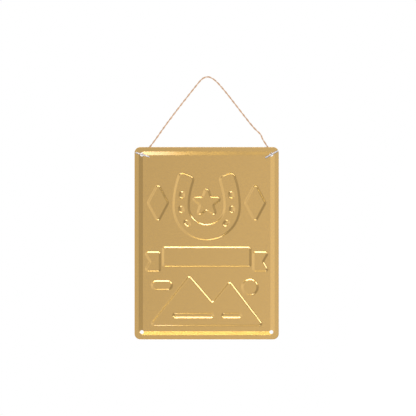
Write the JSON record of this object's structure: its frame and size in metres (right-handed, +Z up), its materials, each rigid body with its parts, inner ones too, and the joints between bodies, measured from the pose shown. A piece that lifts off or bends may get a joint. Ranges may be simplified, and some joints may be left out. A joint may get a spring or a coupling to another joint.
{
  "type": "hanging metal sign",
  "caption": "Small portrait tin sign with a pressed border and relief, punched corner holes and a cord loop held by rolled metal bars.",
  "frame": {"origin": "seat of the hook under the top of the cord loop", "axes": "+X to the right seen from the sign's back, +Y towards the sign's front, +Z up along its height"},
  "size_m": [0.15, 0.0065, 0.2736],
  "materials": {
    "gold_lacquer": "satin gold lacquer on pressed tinplate",
    "natural_cord": "two-ply natural fibre, loosely twisted",
    "nickel_bar": "bright nickel-plated strip, rolled and pinched"
  },
  "bodies": {
    "root": {"sign_plate": "gold_lacquer", "hanging_cord": "natural_cord", "left_toggle": "nickel_bar", "right_toggle": "nickel_bar"}
  },
  "joints": []
}
